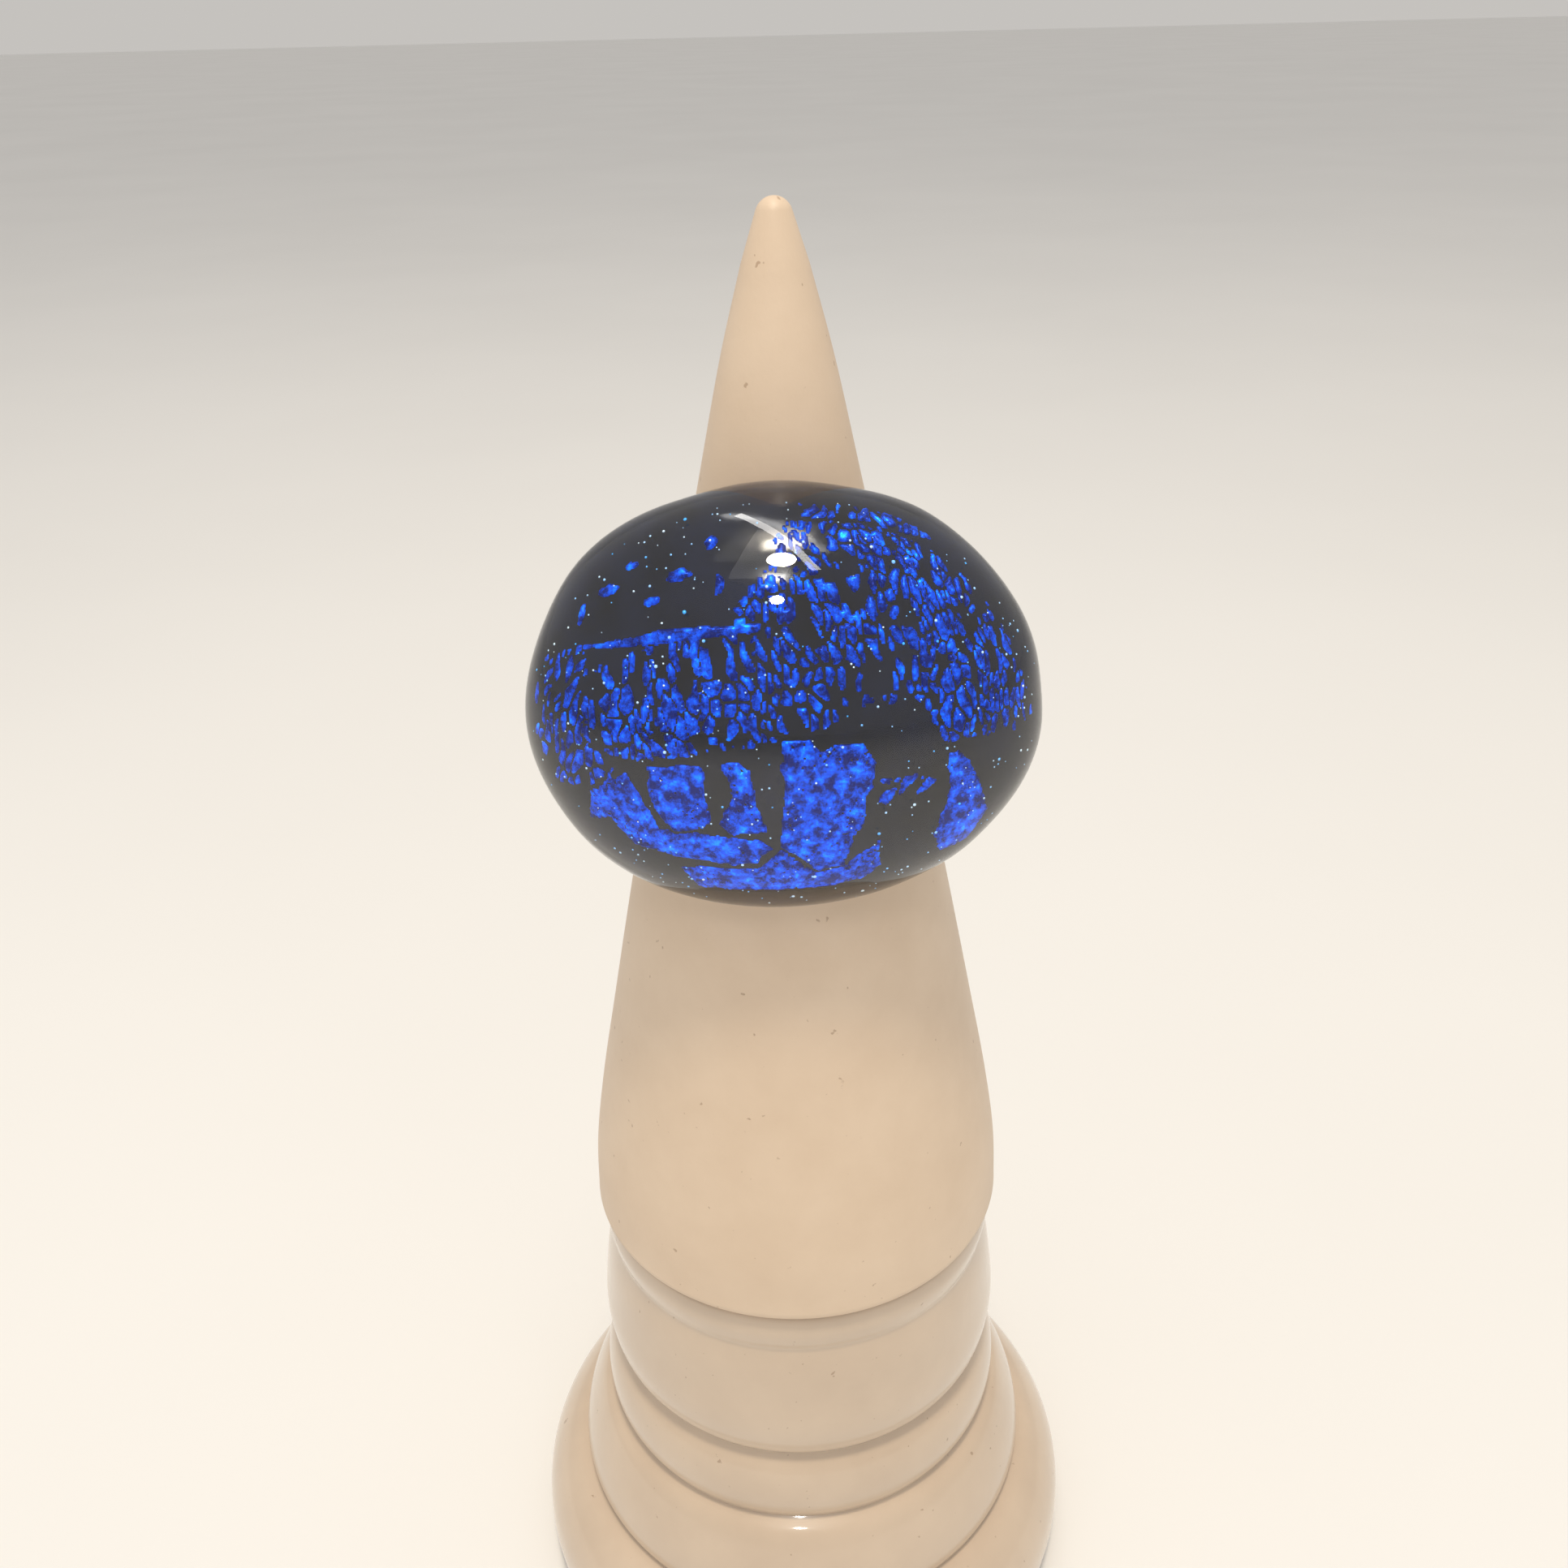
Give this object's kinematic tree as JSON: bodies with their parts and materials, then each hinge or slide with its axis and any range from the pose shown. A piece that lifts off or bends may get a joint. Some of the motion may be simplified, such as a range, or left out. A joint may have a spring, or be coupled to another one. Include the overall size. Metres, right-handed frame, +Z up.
{
  "type": "dome ring on display cone",
  "caption": "Glass finger ring with a wide clear dome over crinkled blue metal leaf, resting on a turned cream display cone with a beaded base.",
  "frame": {"origin": "centre of the underside of the felt pad, on the axis of the cone", "axes": "+Z up along the cone's axis; the dome of the ring faces -Y and looks 14 degrees upwards; +X to the right of somebody facing the dome"},
  "size_m": [0.0432, 0.0432, 0.1053],
  "materials": {
    "cone_satin": "satin cream cast resin",
    "base_gloss": "glossy cream cast resin",
    "felt": "pressed felt",
    "screw_steel": "zinc plated",
    "insert_brass": "machined",
    "black_glass": "fire polished black glass",
    "clear_glass": "fire polished clear glass",
    "blue_leaf": "crinkled blue metal leaf"
  },
  "bodies": {
    "stand": {"display_cone": "cone_satin", "beaded_base": "base_gloss", "felt_pad": "felt", "base_screw": "screw_steel", "screw_washer": "screw_steel", "threaded_insert": "insert_brass"},
    "ring": {"ring_band": "black_glass", "clear_dome": "clear_glass", "foil_upper_sheet": "blue_leaf", "foil_top_band": "blue_leaf", "foil_left_flakes": "blue_leaf", "foil_lower_patches": "blue_leaf", "foil_lower_left_patch": "blue_leaf", "foil_right_patches": "blue_leaf", "foil_bottom_strip": "blue_leaf"}
  },
  "joints": [
    {"name": "ring_lift", "type": "slide", "parent": "stand", "child": "ring", "axis": [0, 0, 1], "range_m": [0, 0.04]}
  ]
}
